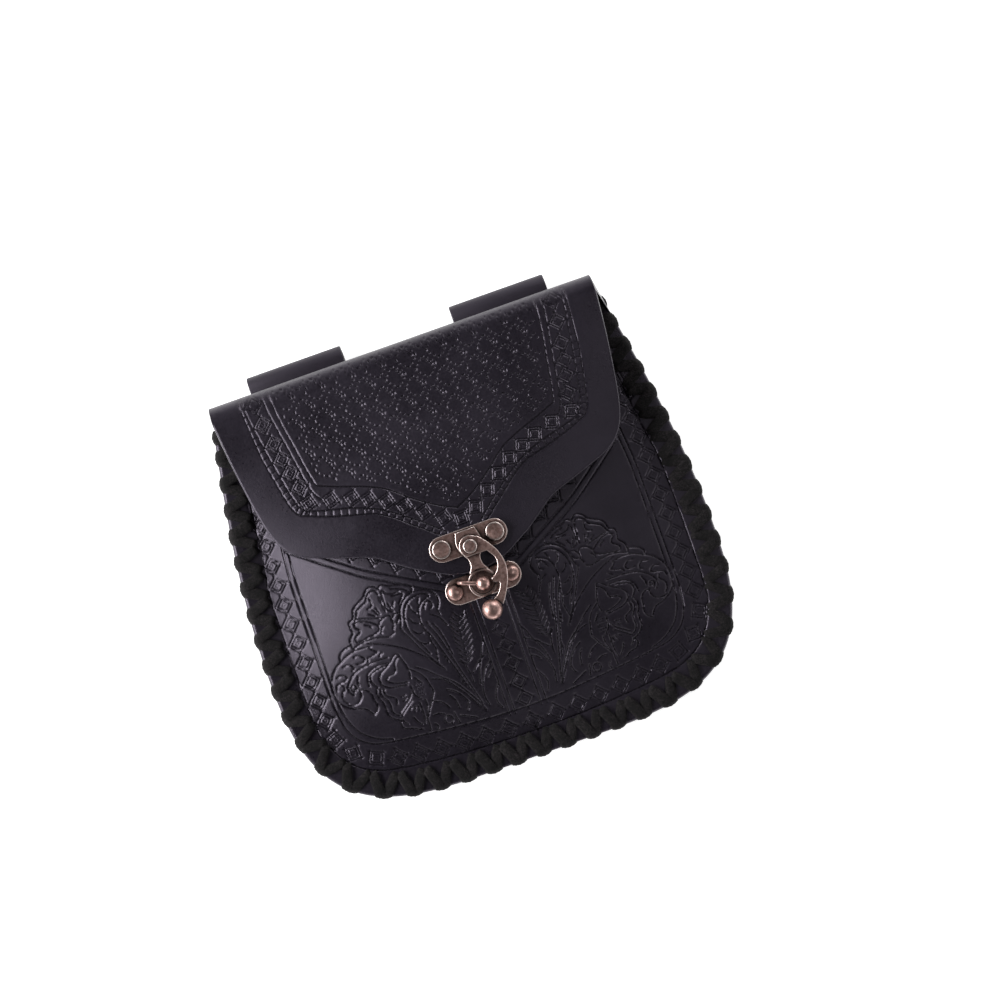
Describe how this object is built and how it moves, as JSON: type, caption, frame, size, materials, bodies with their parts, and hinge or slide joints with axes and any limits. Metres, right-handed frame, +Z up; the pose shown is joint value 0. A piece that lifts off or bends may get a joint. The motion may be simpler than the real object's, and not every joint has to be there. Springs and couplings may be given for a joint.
{
  "type": "medieval belt pouch",
  "caption": "Leather belt pouch with a crowned front laced round its rim, a shaped fold-over flap, a swing clasp with a turning lever, and two wide belt loops on its back.",
  "frame": {"origin": "centre of the pouch's footprint on the surface that it lies on", "axes": "+X to the pouch's right as its front is seen, +Y towards the fold, +Z up out of the front"},
  "size_m": [0.218, 0.211, 0.0458],
  "materials": {
    "body_leather": "black tooled leather, satin, with a fine grain and burnished edges",
    "strap_leather": "black smooth strap leather, satin",
    "lace_leather": "black flat lace, matt suede",
    "clasp_metal": "antique copper plate, darkened in the hollows and bright where worn",
    "rivet_metal": "antique copper plate, domed or flat heads"
  },
  "bodies": {
    "pouch": {"back_and_flap": "body_leather", "front_panel": "body_leather", "edge_lacing": "lace_leather", "belt_loop_left": "strap_leather", "belt_loop_right": "strap_leather", "clasp_plate": "clasp_metal", "catch_plate": "clasp_metal", "clasp_pivot": "clasp_metal", "flap_rivet_left": "rivet_metal", "flap_rivet_right": "rivet_metal", "catch_rivet_left": "rivet_metal", "catch_rivet_right": "rivet_metal"},
    "lever": {"clasp_lever": "clasp_metal"}
  },
  "joints": [
    {"name": "lever_pivot", "type": "hinge", "parent": "pouch", "child": "lever", "pos_m": [0, -0.00377, 0.04212], "axis": [0, -0.049, 0.9988], "range_deg": [0, 265]}
  ]
}
